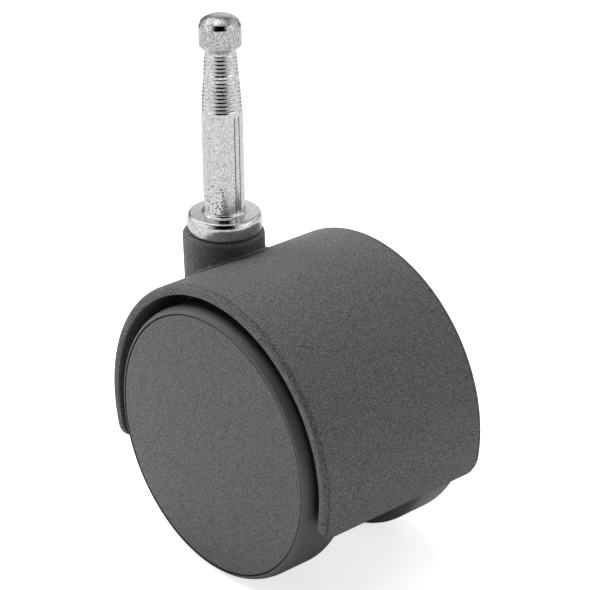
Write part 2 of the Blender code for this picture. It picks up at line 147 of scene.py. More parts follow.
# Wheels
CROWN_RADIUS = 26.08 * MM
SHOULDER_DEPTH = 2.6 * MM
INNER_ROUND = 3.3 * MM
CAP_RADIUS = 24.75 * MM
CAP_THICKNESS = 1.75 * MM
CAP_ROUND = 0.25 * MM
CAP_GAP = 0.20 * MM
CAP_SKIRT_DEPTH = 1.4 * MM
CAP_SKIRT_WALL = 1.1 * MM
RIM_WALL = 1.6 * MM
SEAT_GAP = 0.3 * MM
CROWN_STEPS = 20
ROUND_STEPS = 8
FINE_STEPS = 4
WHEEL_STEPS = 192

SMALL_STEPS = 64
SHARP_DEG = 32
TINY = 1e-7

# Nylon's grain, patches and specks. A pair is a ramp's two ends.
GRAIN = 0.19 * MM
GRAIN_DETAIL = 0.8
GRAIN_SPAN = (0.3, 0.7)
GRAIN_CONTRAST = 0.70
GRAIN_DEPTH = 0.03 * MM
NYLON_ROUGHNESS = 0.58
ROUGHNESS_SPREAD = 0.08
PATCH_SCALE = 12
PATCH_DETAIL = 3.0
PATCH_SPAN = (0.35, 0.65)
PATCH_STRENGTH = 0.14
PATCH_LIGHT = 1.25
SPECK_SCALE = 6
SPECK_SPREAD = 0.12
SPECK_SPAN = (0.45, 0.6)
SPECK_LIGHT = 2.6

# Scuff on the boss
SCUFF_CENTRE = Vector((5.0, -5.8, -8.3)) * MM
SCUFF_RADIUS = 1.85 * MM
SCUFF_WIDTH = 0.16 * MM
SCUFF_BREAKS = (0.3, 0.5)
SCUFF_LIGHT = 3.0

# Painted shade: a dark line along the hood's lip, and darkening of the treads in narrow gaps
RIM_SHADE_WIDTH = 0.5 * MM
RIM_SHADE_BREAKS = (0.65, 0.45)
PAINTED_RIM_SHADE_LEVEL = 0.2
GAP_SHADE_REACH = 10 * MM
GAP_SHADE_SPAN = (0.44, 0.34)
PAINTED_GAP_SHADE_LEVEL = 0.25

# Zinc plate: a pair of greys is its dark and light grain
ZINC_GRAIN = 0.26 * MM
ZINC_GRAIN_DETAIL = 4.0
ZINC_GRAIN_SPAN = (0.38, 0.62)
ZINC_GREYS = (0.44, 0.83)
ZINC_HEAD_GREYS = (0.30, 0.72)
ZINC_ROUGHNESS = (0.20, 0.09)
ZINC_DEPTH = 0.010 * MM
CLOUD = 1.4 * MM
CLOUD_SPAN = (0.40, 0.65)
CLOUD_STRENGTH = 0.35
CLOUD_GREY = 0.74
VIOLET_TINT = (1.0, 0.97, 1.02)
HEAD_SPAN = (31.5 * MM, 32.5 * MM)
FLANGE_SIDE_SPAN = (-0.9 * MM, -1.6 * MM)
FLANGE_SIDE_DEPTH = 0.030 * MM

# Draw marks and pits on the shank
SHANK_FOOT_SPAN = (0.4 * MM, 1.0 * MM)
SHANK_END_SPAN = (20 * MM, 19 * MM)
DRAW_MARKS_DEG = (-4.6, 11.9)
DRAW_MARK_OUTER_DEG = 3.0
DRAW_MARK_INNER_DEG = 0.6
PITTED_SPAN = (9 * MM, 5 * MM)
PITTED_SIDE_DEG = -66
PITTED_HALF_DEG = 50
PITTED_WEAR = (0.2, 0.5)
PIT_SIZE = 0.6 * MM
PIT_SPREAD = 0.36
FLAW_GREY = 0.12
FLAW_DEPTH = 0.05 * MM

# Plain steel
STEEL_GRAIN = 0.25 * MM
STEEL_DETAIL = 3.0
STEEL_DARK = 0.8
STEEL_LIGHT = 1.15
STEEL_SPREAD = 0.07
STEEL_DEPTH = 0.004 * MM

# Finishes
# The hood's finish carries a real scuff and a line of painted shade along its lip
HOOD_NYLON = {"level": 0.124, "scuff_and_painted_rim_shade": True}
CAP_NYLON = {"level": 0.130, "contrast": 0.50}
# The treads' finish has painted shade in narrow gaps, such as under the hood
TREAD_POLYMER = {"level": 0.105, "contrast": 0.12, "rough": 0.45, "depth": 0.008 * MM,
                 "tint": (1.01, 1.0, 0.99), "shaded": True}
WHEEL_NYLON = {"level": 0.03, "contrast": 0.15, "rough": 0.5, "depth": 0.01 * MM}
BUSH_PLASTIC = {"level": 0.5, "contrast": 0.08, "rough": 0.4, "depth": 0.005 * MM, "tint": (1.0, 0.98, 0.92)}
SPRING_STEEL = {"level": 0.40, "rough": 0.35}
AXLE_STEEL = {"level": 0.5, "rough": 0.3}

# Camera
CAMERA_AZIMUTH_DEG = 48.92
CAMERA_ELEVATION_DEG = 25.27
CAMERA_ROLL_DEG = -0.727
CAMERA_DISTANCE = 0.450
CAMERA_AIM = Vector((11.386, 7.036, -15.50)) * MM
CAMERA_LENS = 147.92
CAMERA_SENSOR = 36.0

# Studio
FLOOR_SIZE = 8.0
FLOOR_DROP = 0.02 * MM
FLOOR_COLOUR = (0.94, 0.94, 0.94, 1.0)
FLOOR_ROUGHNESS = 0.9
FLOOR_SPECULAR = 0.1
FLOOR_GLOW = 0.75
BACKGROUND = (1.0, 1.0, 1.0, 1.0)
TENT_OUTER_DEG = 34
TENT_INNER_DEG = 6
# The tent's soft panels: azimuth from the camera's, elevation, brightness
TENT_PANELS = [
    (-105, 8, 0.90),
    (-75, 8, 0.45),
    (75, 8, 0.58),
    (105, 8, 0.62),
    (165, 8, 0.93),
    (-160, 22, 0.30),
    (180, 45, 0.32),
    (-120, 35, 0.80),
    (120, 35, 0.79),
    (-135, 62, 1.29),
    (0, 90, 1.15),
]
# Panels that only bright surfaces mirror, on both sides of the open front
SHEEN_PANELS = [
    (-58, 12, 0.85),
    (58, 12, 0.85),
    (-68, 40, 0.60),
    (68, 40, 0.60),
]
# Soft lamps behind the tent that leave no highlight: azimuth from the camera's, elevation, strength
SOFT_LAMPS = [
    (-105, 8, 0.38),
    (-135, 8, 0.66),
    (165, 8, 0.52),
    (-120, 35, 0.26),
    (150, 35, 0.13),
    (-135, 62, 0.60),
    (180, 62, 0.55),
]
LAMP_ANGLE_DEG = 22
LAMP_DISTANCE = 0.6


# Mesh helpers

def arc(centre, radius, start_deg, end_deg, steps):
    """Points on a circular arc, both ends included."""
    points = []
    for step in range(steps + 1):
        angle = math.radians(start_deg + (end_deg - start_deg) * step / steps)
        points.append((centre[0] + radius * math.cos(angle), centre[1] + radius * math.sin(angle)))
    return points


def keep(name, shape, matrix=Matrix()):
    """Turns a bmesh into a smooth-shaded object with creases at its edges."""
    bmesh.ops.recalc_face_normals(shape, faces=shape.faces)
    mesh = bpy.data.meshes.new(name)
    shape.to_mesh(mesh)
    shape.free()
    mesh.transform(matrix)
    mesh.shade_smooth()
    mesh.set_sharp_from_angle(angle=math.radians(SHARP_DEG))
    item = bpy.data.objects.new(name, mesh)
    bpy.context.scene.collection.objects.link(item)
    return item


def skin(shape, rings, closed):
    """Joins rings of vertices with faces. A ring of one vertex is a pole."""
    steps = max(len(ring) for ring in rings)
    following = rings[1:] + rings[:1] if closed else rings[1:]
    for upper, lower in zip(rings, following):
        for index in range(steps):
            after = index + 1
            corners = [upper[index % len(upper)], lower[index % len(lower)]]
            corners += [lower[after % len(lower)], upper[after % len(upper)]]
            shape.faces.new(list(dict.fromkeys(corners)))


def lathe(name, outline, steps, matrix=Matrix()):
    """A turned piece about local Z. An outline that starts off the axis is a closed ring."""
    shape = bmesh.new()
    rings = []
    for radius, height in outline:
        if radius < TINY:
            rings.append([shape.verts.new((0, 0, height))])
            continue
        turn = arc((0, 0), radius, 0, 360 - 360 / steps, steps - 1)
        rings.append([shape.verts.new((x, y, height)) for x, y in turn])
    skin(shape, rings, outline[0][0] > TINY)
    return keep(name, shape, matrix)


def plate(outline, half_thickness, matrix):
    """A flat outline in local XY, thickened both ways along local Z, as a bmesh."""
    shape = bmesh.new()
    rings = []
    for height in (half_thickness, -half_thickness):
        rings.append([shape.verts.new((x, y, height)) for x, y in outline])
    skin(shape, rings, False)
    shape.faces.new(rings[0])
    shape.faces.new(rings[1])
    shape.transform(matrix)
    return shape


def combine(item, tool, operation):
    """Applies a Boolean of the tool to the item, and removes the tool."""
    modifier = item.modifiers.new(operation, "BOOLEAN")
    modifier.operation = operation
    modifier.object = tool
    bake(item)
    bpy.data.objects.remove(tool, do_unlink=True)


def bake(item):
    """Makes the item's evaluated shape its own mesh."""
    bpy.context.view_layer.update()
    depsgraph = bpy.context.evaluated_depsgraph_get()
    mesh = bpy.data.meshes.new_from_object(item.evaluated_get(depsgraph))
    item.modifiers.clear()
    item.data = mesh


def side_matrix(side):
    """Places a turned piece on the axle with its local +Z pointing out of that side."""
    return Matrix.Translation(AXLE) @ Matrix.Rotation(-SIDES[side] * math.pi / 2, 4, "X")


def side_view_matrix():
    """Places an outline drawn in (x, z) about the axle's centre."""
    return Matrix.Translation(AXLE) @ Matrix.Rotation(math.pi / 2, 4, "X")


# Stem

def dome_outline():
    """The button head's low crown, its steep flank and the rim, from the centre out."""
    points = [(0, STEM_TOP)]
    for step in range(1, DOME_STEPS + 1):
        reach = step / DOME_STEPS
        height = STEM_TOP - (STEM_TOP - DOME_SHOULDER) * reach ** DOME_POWER
        points.append((DOME_SHOULDER_RADIUS * reach, height))
    flank = Vector((HEAD_RADIUS, HEAD_RIM)) - Vector(points[-1])
    step_out = flank.normalized() * EDGE_SUPPORT
    rim = Vector((HEAD_RADIUS, HEAD_RIM))
    points += [tuple(Vector(points[-1]) + step_out), tuple(rim - step_out), tuple(rim)]
    return points + [(HEAD_RADIUS, HEAD_RIM - EDGE_SUPPORT)]


def neck_radius(height):
    """The neck's mean radius: a straight taper that runs softly into the shank."""
    taper = (SHANK_RADIUS - NECK_RADIUS) / (NECK_TOP - SHANK_TOP)
    straight = SHANK_RADIUS - taper * (height - SHANK_TOP)
    blend = taper * SHANK_BLEND
    excess = (SHANK_RADIUS - straight) / blend
    return SHANK_RADIUS - blend * math.log1p(math.exp(excess))


def ring_strength(height):
    """How deep the turned rings are along the neck: worn smooth in one band and at both ends."""
    ends = min(NECK_TOP - height, height - RING_BOTTOM) / RING_PITCH
    band = (height - RING_WORN) / RING_WORN_REACH
    return max(0.0, min(1.0, ends)) * (1 - RING_WORN_SHARE * math.exp(-band * band))


def neck_outline():
    """The ringed neck, from under the head down to where it has run into the shank."""
    bottom = SHANK_TOP - NECK_RUN_OUT
    count = round((NECK_TOP - bottom) / RING_PITCH) * RING_SAMPLES
    points = []
    for step in range(count + 1):
        height = NECK_TOP - (NECK_TOP - bottom) * step / count
        wave = math.cos(2 * math.pi * (NECK_TOP - height) / RING_PITCH)
        depth = RING_DEPTH * ring_strength(height) * (1 - wave) / 2
        points.append((neck_radius(height) - depth, height))
    return points


def flange_outline():
    """The fillet at the shank's foot, the flat seat and a side that rounds in at top and foot."""
    centre = (SHANK_RADIUS + SHANK_FILLET, SHANK_FILLET)
    points = arc(centre, SHANK_FILLET, 180, 270, ROUND_STEPS)
    for step in range(FLANGE_STEPS + 1):
        turn = math.pi / 2 * step / FLANGE_STEPS
        reach = FLANGE_FLAT_RADIUS + (FLANGE_RADIUS - FLANGE_FLAT_RADIUS) * math.sin(turn)
        points.append((reach, -FLANGE_TOP_ROUND * (1 - math.cos(turn))))
    for step in range(1, FLANGE_STEPS + 1):
        turn = math.pi / 2 * step / FLANGE_STEPS
        reach = FLANGE_FOOT_RADIUS + (FLANGE_RADIUS - FLANGE_FOOT_RADIUS) * math.cos(turn)
        points.append((reach, -FLANGE_TOP_ROUND + (FLANGE_FOOT + FLANGE_TOP_ROUND) * math.sin(turn)))
    return points


def make_stem():
    """Head, ringed neck, shank, flange and the pin below, one turned piece."""
    edge = HEAD_EDGE_ROUND
    outline = dome_outline()
    outline += arc((HEAD_RADIUS - edge, HEAD_BOTTOM + edge), edge, 0, HEAD_EDGE_END_DEG, FINE_STEPS)
    outline += neck_outline()
    outline += flange_outline()
    outline += [(PIN_RADIUS, FLANGE_FOOT), (PIN_RADIUS, PIN_BOTTOM + PIN_CHAMFER)]
    outline += [(PIN_RADIUS - PIN_CHAMFER, PIN_BOTTOM), (0, PIN_BOTTOM)]
    return lathe("stem_turned", outline, STEM_STEPS)


# Hood

def shell_section(half_width, outer, inner):
    """One closed section of the shell in (radius, y): outer face, lip, inner face, lip."""
    lip = HOOD_EDGE_ROUND
    soft = HOOD_INNER_ROUND
    wide = half_width - lip
    deep = half_width - soft
    points = [(outer, -wide + 2 * wide * step / WIDTH_STEPS) for step in range(WIDTH_STEPS)]
    points += arc((outer - lip, wide), lip, 0, 90, LIP_STEPS)
    points += arc((inner + soft, deep), soft, 90, 180, INNER_LIP_STEPS)
    points += [(inner, deep - 2 * deep * step / WIDTH_STEPS) for step in range(1, WIDTH_STEPS)]
    points += arc((inner + soft, -deep), soft, 180, 270, INNER_LIP_STEPS)
    points += arc((outer - lip, -wide), lip, 270, 360 - 90 / LIP_STEPS, LIP_STEPS - 1)
    return points


def shell_angles():
    """The sections' angles, closer together at both lower edges."""
    corner = math.degrees(HOOD_CORNER_ROUND / HOOD_RADIUS)
    front = [HOOD_FRONT_DEG + corner * (1 - math.cos(math.pi / 2 * step / HOOD_END_STEPS))
             for step in range(HOOD_END_STEPS)]
    rear = [HOOD_REAR_DEG - angle + HOOD_FRONT_DEG for angle in reversed(front)]
    start, end = HOOD_FRONT_DEG + corner, HOOD_REAR_DEG - corner
    count = round((end - start) / HOOD_STEP_DEG)
    return front + [start + (end - start) * step / count for step in range(count + 1)] + rear


def quarter(distance, radius):
    """How far a quarter round of that radius is set back at a distance from its edge."""
    short = max(0.0, radius - distance)
    return radius - math.sqrt(radius * radius - short * short)


def make_shell():
    """The moulded shell over both wheels, with rounded lips and lower corners."""
    shape = bmesh.new()
    rings = []
    for angle_deg in shell_angles():
        angle = math.radians(angle_deg)
        turn = min(angle_deg - HOOD_FRONT_DEG, HOOD_REAR_DEG - angle_deg)
        distance = math.radians(max(0.0, turn)) * HOOD_RADIUS
        half_width = HOOD_HALF_WIDTH - quarter(distance, HOOD_CORNER_ROUND)
        inset = quarter(distance, HOOD_END_ROUND)
        section = shell_section(half_width, HOOD_RADIUS - inset, HOOD_RADIUS - HOOD_WALL + inset)
        rings.append([shape.verts.new((radius * math.cos(angle), y, radius * math.sin(angle)))
                      for radius, y in section])
    skin(shape, rings, False)
    shape.faces.new(rings[0])
    shape.faces.new(rings[-1])
    return keep("hood_shell", shape, Matrix.Translation(AXLE))


def hood_height(x):
    """The height of the hood's outer surface over a place along X."""
    return AXLE.z + math.sqrt(HOOD_RADIUS ** 2 - (x - AXLE.x) ** 2)


def boss_column(angle):
    """Points down the boss at one angle: bore, rim, wall, then a fillet onto the hood."""
    points = [(BOSS_BORE_RADIUS, BOSS_TOP - BOSS_RIM_DEPTH), (BOSS_BORE_RADIUS, BOSS_TOP)]
    corner = (BOSS_RADIUS - BOSS_ROUND, BOSS_TOP - BOSS_ROUND)
    points += arc(corner, BOSS_ROUND, 90, 0, BOSS_ROUND_STEPS)
    foot = hood_height(BOSS_RADIUS * math.cos(angle))
    spread = BOSS_RADIUS + BOSS_FILLET
    start = min(foot + BOSS_FILLET, BOSS_TOP - BOSS_ROUND - TINY)
    end = hood_height(spread * math.cos(angle)) - BOSS_SINK
    for step in range(BOSS_FILLET_STEPS + 1):
        t = step / BOSS_FILLET_STEPS
        radius = BOSS_RADIUS + BOSS_FILLET * t * t
        height = start * (1 - t) ** 2 + foot * 2 * t * (1 - t) + end * t * t
        points.append((radius, height))
    low = hood_height(-BOSS_RADIUS)
    tilt = BOSS_LEAN / (BOSS_TOP - low)
    return [(r * math.cos(angle) - tilt * max(0.0, height - low), r * math.sin(angle), height)
            for r, height in points]


def make_boss():
    """The stem boss, which flares softly into the top of the hood."""
    shape = bmesh.new()
    columns = []
    for step in range(BOSS_STEPS):
        column = boss_column(2 * math.pi * step / BOSS_STEPS)
        columns.append([shape.verts.new(point) for point in column])
    rings = [list(ring) for ring in zip(*columns)]
    skin(shape, rings, False)
    return keep("hood_boss", shape)


def pocket_row(start, end, count):
    """Equal spans between start and end with a rib between each two."""
    width = (end - start - (count - 1) * WEB_RIB) / count
    firsts = [start + index * (width + WEB_RIB) for index in range(count)]
    return [(first, first + width) for first in firsts]


def make_pockets():
    """What hollows the web from below."""
    roof_radius = HOOD_RADIUS - HOOD_WALL - WEB_WALL
    tube_side = AXLE_TUBE_RADIUS + WEB_RIB
    boss_front = BOSS_RADIUS - AXLE.x + WEB_RIB
    spans = pocket_row(tube_side, roof_radius - WEB_WALL, FRONT_POCKETS)
    spans.append((boss_front, -tube_side))
    tops = [math.sqrt(roof_radius ** 2 - max(abs(start), abs(end)) ** 2) for start, end in spans]
    rear_row = pocket_row(-BOSS_RADIUS - AXLE.x, boss_front - WEB_RIB, REAR_POCKETS)
    spans += rear_row
    tops += [BOSS_BORE_BOTTOM - 2 * BOSS_FLOOR - AXLE.z] * len(rear_row)
    shape = bmesh.new()
    for (start, end), top in zip(spans, tops):
        size = (end - start, 2 * (WEB_HALF_WIDTH - WEB_WALL), top + HOOD_RADIUS)
        place = AXLE + Vector(((start + end) / 2, 0, (top - HOOD_RADIUS) / 2))
        matrix = Matrix.Translation(place) @ Matrix.Diagonal((*size, 1.0))
        bmesh.ops.create_cube(shape, size=1.0, matrix=matrix)
    return keep("web_pockets", shape)


def tube(name, radius, top, bottom, matrix):
    """A plain turned tool."""
    return lathe(name, [(0, top), (radius, top), (radius, bottom), (0, bottom)], SMALL_STEPS, matrix)


def make_web():
    """The middle wall under the shell, with the stem boss's lower end and the axle tube."""
    rim = HOOD_RADIUS - HOOD_WALL + WEB_EMBED
    outline = arc((0, 0), rim, HOOD_FRONT_DEG + WEB_SETBACK_DEG, HOOD_REAR_DEG - WEB_SETBACK_DEG, WEB_STEPS)
    outline += [(-AXLE_TUBE_RADIUS, -AXLE_TUBE_RADIUS), (AXLE_TUBE_RADIUS, -AXLE_TUBE_RADIUS)]
    web = keep("hood_web", plate(outline, WEB_HALF_WIDTH, side_view_matrix()))
    disc = arc((0, 0), rim, 0, 360 - 360 / WEB_STEPS, WEB_STEPS - 1)
    boss = tube("boss_low", BOSS_RADIUS, 0, BOSS_BOTTOM, Matrix())
    combine(boss, keep("disc", plate(disc, HOOD_HALF_WIDTH, side_view_matrix())), "INTERSECT")
    combine(web, boss, "UNION")
    reach = AXLE_TUBE_HALF_LENGTH
    combine(web, tube("axle_tube", AXLE_TUBE_RADIUS, reach, -reach, side_matrix("left")), "UNION")
    combine(web, make_pockets(), "DIFFERENCE")
    combine(web, tube("boss_bore", BOSS_BORE_RADIUS, 0, BOSS_BORE_BOTTOM, Matrix()), "DIFFERENCE")
    bore = tube("axle_bore", AXLE_BORE_RADIUS, 2 * reach, -2 * reach, side_matrix("left"))
    combine(web, bore, "DIFFERENCE")
    bevel = web.modifiers.new("Moulded edges", "BEVEL")
    bevel.width = WEB_BEVEL
    bevel.segments = 2
    bevel.limit_method = "ANGLE"
    bevel.angle_limit = math.radians(SHARP_DEG)
    bake(web)
    web.data.shade_smooth()
    web.data.set_sharp_from_angle(angle=math.radians(SHARP_DEG))
    return web


# Wheels

def make_tread(side):
    """The tread ring round the core: a lip round the cap, a full shoulder and a level crown."""
    inner_centre = (CROWN_RADIUS - INNER_ROUND, WHEEL_INNER + INNER_ROUND)
    seat_radius = CORE_RADIUS + SEAT_GAP
    lip_radius = CAP_RADIUS + CAP_GAP
    lip_bottom = WHEEL_FACE - CAP_THICKNESS - CAP_GAP
    outline = []
    for step in range(CROWN_STEPS + 1):
        turn = math.pi / 2 * step / CROWN_STEPS
        radius = lip_radius + (CROWN_RADIUS - lip_radius) * math.sin(turn)
        outline.append((radius, WHEEL_FACE - SHOULDER_DEPTH * (1 - math.cos(turn))))
    outline += arc(inner_centre, INNER_ROUND, 0, -90, ROUND_STEPS)
    outline += [(seat_radius, WHEEL_INNER), (seat_radius, lip_bottom), (lip_radius, lip_bottom)]
    return lathe(side + "_tread", outline, WHEEL_STEPS, side_matrix(side))


def make_cap(side):
    """The flat disc that closes the wheel, with a skirt that plugs into the core's rim."""
    underside = WHEEL_FACE - CAP_THICKNESS
    skirt_outer = CORE_RADIUS - RIM_WALL - SEAT_GAP
    skirt_inner = skirt_outer - CAP_SKIRT_WALL
    skirt_bottom = underside - CAP_SKIRT_DEPTH
    edge = CAP_RADIUS - CAP_ROUND
    outline = [(0, WHEEL_FACE)]
    outline += arc((edge, WHEEL_FACE - CAP_ROUND), CAP_ROUND, 90, 0, FINE_STEPS)
    outline += [(CAP_RADIUS, underside), (skirt_outer, underside), (skirt_outer, skirt_bottom)]
    outline += [(skirt_inner, skirt_bottom), (skirt_inner, underside), (0, underside)]
    return lathe(side + "_cap", outline, WHEEL_STEPS, side_matrix(side))


# Materials

def grey(level, tint=(1.0, 1.0, 1.0)):
    """A grey with a tint, as a colour."""
    return (level * tint[0], level * tint[1], level * tint[2], 1.0)


class Graph:
    """A material's node tree, with short ways to add nodes."""

    def __init__(self, name):
        self.material = bpy.data.materials.new(name)
        self.material.use_nodes = True
        self.nodes = self.material.node_tree.nodes
        self.links = self.material.node_tree.links
        self.shader = self.nodes["Principled BSDF"]
        self.place = self.nodes.new("ShaderNodeTexCoord").outputs["Object"]

    def link(self, source, target):
        """Feeds a socket."""
        self.links.new(source, target)

    def noise(self, size, detail=2.0):
        """Noise whose features are about that big."""
        node = self.nodes.new("ShaderNodeTexNoise")
        node.inputs["Scale"].default_value = 1 / size
        node.inputs["Detail"].default_value = detail
        self.link(self.place, node.inputs["Vector"])
        return node.outputs["Fac"]

    def spots(self, size, spread):
        """Sparse round specks: spread is the share of a cell that a speck fills."""
        node = self.nodes.new("ShaderNodeTexVoronoi")
        node.inputs["Scale"].default_value = 1 / size
        self.link(self.place, node.inputs["Vector"])
        return self.ramp(node.outputs["Distance"], spread, spread / 2)

    def ramp(self, value, low, high, out_low=0.0, out_high=1.0):
        """Maps a value smoothly from one range to another."""
        node = self.nodes.new("ShaderNodeMapRange")
        node.interpolation_type = "SMOOTHSTEP"
        for socket, level in zip(node.inputs[1:5], (low, high, out_low, out_high)):
            socket.default_value = level
        self.link(value, node.inputs["Value"])
        return node.outputs["Result"]

    def math(self, operation, first, second=None):
        """One step of arithmetic. A number is set on the socket."""
        node = self.nodes.new("ShaderNodeMath")
        node.operation = operation
        for socket, value in zip(node.inputs, (first, second)):
            if isinstance(value, (int, float)):
                socket.default_value = value
            elif value is not None:
                self.link(value, socket)
        return node.outputs["Value"]

    def mix(self, factor, first, second):
        """Mixes two colours, each a socket or a fixed colour."""
        node = self.nodes.new("ShaderNodeMix")
        node.data_type = "RGBA"
        self.link(factor, node.inputs["Factor"])
        for socket, value in ((node.inputs[6], first), (node.inputs[7], second)):
            if isinstance(value, tuple):
                socket.default_value = value
            else:
                self.link(value, socket)
        return node.outputs[2]

    def part(self, axis):
        """One coordinate of the place."""
        node = self.nodes.new("ShaderNodeSeparateXYZ")
        self.link(self.place, node.inputs[0])
        return node.outputs[axis]

    def scuff(self, breaks):
        """A short curved scratch on the boss: part of a thin round line, broken by the grain."""
        node = self.nodes.new("ShaderNodeVectorMath")
        node.operation = "DISTANCE"
        self.link(self.place, node.inputs[0])
        node.inputs[1].default_value = SCUFF_CENTRE
        away = self.math("ABSOLUTE", self.math("SUBTRACT", node.outputs["Value"], SCUFF_RADIUS))
        line = self.ramp(away, SCUFF_WIDTH, 0.0)
        line = self.math("MULTIPLY", line, self.ramp(self.part("X"), SCUFF_CENTRE[0], SCUFF_CENTRE[0] - MM))
        line = self.math("MULTIPLY", line, self.ramp(self.part("Z"), SCUFF_CENTRE[2] - MM, SCUFF_CENTRE[2]))
        return self.math("MULTIPLY", line, self.ramp(breaks, *SCUFF_BREAKS))

    def painted_gap_shade(self, reach):
        """Where shade is painted: 1 in a narrow gap, 0 in the open, read from ambient occlusion."""
        node = self.nodes.new("ShaderNodeAmbientOcclusion")
        node.inputs["Distance"].default_value = reach
        return self.ramp(node.outputs["AO"], *GAP_SHADE_SPAN)

    def painted_rim_shade(self, breaks):
        """Painted shade: a broken dark line along the rounding of the hood's lip."""
        aside = self.math("ABSOLUTE", self.part("Y"))
        away = self.math("ABSOLUTE", self.math("SUBTRACT", aside, HOOD_HALF_WIDTH - HOOD_EDGE_ROUND))
        line = self.ramp(away, RIM_SHADE_WIDTH, 0.0)
        return self.math("MULTIPLY", line, self.ramp(breaks, *RIM_SHADE_BREAKS))

    def bump(self, heights):
        """Bumps the surface by (height socket, depth in metres) pairs, one after another."""
        normal = None
        for height, depth in heights:
            node = self.nodes.new("ShaderNodeBump")
            node.inputs["Distance"].default_value = depth
            self.link(height, node.inputs["Height"])
            if normal:
                self.link(normal, node.inputs["Normal"])
            normal = node.outputs["Normal"]
        self.link(normal, self.shader.inputs["Normal"])

    def finish(self, colour, roughness, metallic=0.0, specular=0.5):
        """Feeds the shader."""
        self.link(colour, self.shader.inputs["Base Color"])
        self.link(roughness, self.shader.inputs["Roughness"])
        self.shader.inputs["Metallic"].default_value = metallic
        self.shader.inputs["Specular IOR Level"].default_value = specular
        return self.material


def nylon(name, level, contrast=GRAIN_CONTRAST, rough=NYLON_ROUGHNESS, depth=GRAIN_DEPTH, tint=(1, 1, 1),
          scuff_and_painted_rim_shade=False, shaded=False):
    """Moulded nylon with a fine spark-eroded grain, light specks and faint rubbing; it can also carry
    painted shade along the hood's lip and in the treads' narrow gaps.
    """
    graph = Graph(name)
    fine = graph.noise(GRAIN, GRAIN_DETAIL)
    broad = graph.noise(PATCH_SCALE * GRAIN, PATCH_DETAIL)
    dark = grey(level * (1 - contrast), tint)
    light = grey(level * (1 + contrast), tint)
    colour = graph.mix(graph.ramp(fine, *GRAIN_SPAN), dark, light)
    patch = graph.ramp(broad, *PATCH_SPAN, 0.0, PATCH_STRENGTH)
    colour = graph.mix(patch, colour, grey(level * PATCH_LIGHT, tint))
    speck = graph.spots(SPECK_SCALE * GRAIN, SPECK_SPREAD)
    speck = graph.math("MULTIPLY", speck, graph.ramp(broad, *SPECK_SPAN))
    colour = graph.mix(speck, colour, grey(level * SPECK_LIGHT, tint))
    if scuff_and_painted_rim_shade:
        # Painted shade along the hood's lip; the scuff after it is real wear
        colour = graph.mix(graph.painted_rim_shade(fine), colour, grey(level * PAINTED_RIM_SHADE_LEVEL, tint))
        colour = graph.mix(graph.scuff(fine), colour, grey(level * SCUFF_LIGHT, tint))
    if shaded:
        # Painted shade: darker where ambient occlusion finds a narrow gap
        colour = graph.mix(graph.painted_gap_shade(GAP_SHADE_REACH), colour, grey(level * PAINTED_GAP_SHADE_LEVEL, tint))
    roughness = graph.ramp(fine, *GRAIN_SPAN, rough + ROUGHNESS_SPREAD, rough - ROUGHNESS_SPREAD)
    graph.bump([(fine, depth), (broad, depth)])
    return graph.finish(colour, roughness)


def shank_flaws(graph, height):
    """The two draw marks down the shank, and the pits low on one side."""
    foot = graph.ramp(height, *SHANK_FOOT_SPAN)
    shank = graph.math("MULTIPLY", foot, graph.ramp(height, *SHANK_END_SPAN))
    turn = graph.math("ARCTAN2", graph.part("Y"), graph.part("X"))
    aside = graph.math("ABSOLUTE", graph.math("SUBTRACT", turn, math.radians(PITTED_SIDE_DEG)))
    low = graph.math("MULTIPLY", shank, graph.ramp(height, *PITTED_SPAN))
    worn = graph.math("MULTIPLY", low, graph.ramp(aside, math.radians(PITTED_HALF_DEG), 0.0))
    pits = graph.math("MULTIPLY", graph.spots(PIT_SIZE, PIT_SPREAD), graph.ramp(worn, *PITTED_WEAR))
    marks = None
    for mark_deg in DRAW_MARKS_DEG:
        away = graph.math("ABSOLUTE", graph.math("SUBTRACT", turn, math.radians(mark_deg)))
        mark = graph.ramp(away, math.radians(DRAW_MARK_OUTER_DEG), math.radians(DRAW_MARK_INNER_DEG))
        marks = graph.math("ADD", marks, mark) if marks else mark
    return graph.math("MAXIMUM", pits, graph.math("MULTIPLY", marks, shank))


def zinc(name):
    """Bright zinc plate over turned steel: speckled, darker on the head and rough round the flange."""
    graph = Graph(name)
    height = graph.part("Z")
    grain = graph.noise(ZINC_GRAIN, ZINC_GRAIN_DETAIL)
    cloud = graph.noise(CLOUD)
    speckle = graph.ramp(grain, *ZINC_GRAIN_SPAN)
    colour = graph.mix(speckle, *map(grey, ZINC_GREYS))
    patch = graph.ramp(cloud, *CLOUD_SPAN, 0.0, CLOUD_STRENGTH)
    colour = graph.mix(patch, colour, grey(CLOUD_GREY, VIOLET_TINT))
    flaws = shank_flaws(graph, height)
    colour = graph.mix(flaws, colour, grey(FLAW_GREY))
    head = graph.mix(speckle, *map(grey, ZINC_HEAD_GREYS))
    colour = graph.mix(graph.ramp(height, *HEAD_SPAN), colour, head)
    rugged = graph.math("MULTIPLY", grain, graph.ramp(height, *FLANGE_SIDE_SPAN))
    sound = graph.math("SUBTRACT", 1.0, flaws)
    graph.bump([(grain, ZINC_DEPTH), (rugged, FLANGE_SIDE_DEPTH), (cloud, ZINC_DEPTH), (sound, FLAW_DEPTH)])
    return graph.finish(colour, graph.ramp(grain, *GRAIN_SPAN, *ZINC_ROUGHNESS), metallic=1.0)


def steel(name, level, rough):
    """Plain worked steel with fine drawn grain."""
    graph = Graph(name)
    grain = graph.noise(STEEL_GRAIN, STEEL_DETAIL)
    colour = graph.mix(graph.ramp(grain, *GRAIN_SPAN), grey(level * STEEL_DARK), grey(level * STEEL_LIGHT))
    roughness = graph.ramp(grain, *GRAIN_SPAN, rough + STEEL_SPREAD, rough - STEEL_SPREAD)
    graph.bump([(grain, STEEL_DEPTH)])
    return graph.finish(colour, roughness, metallic=1.0)


# Studio

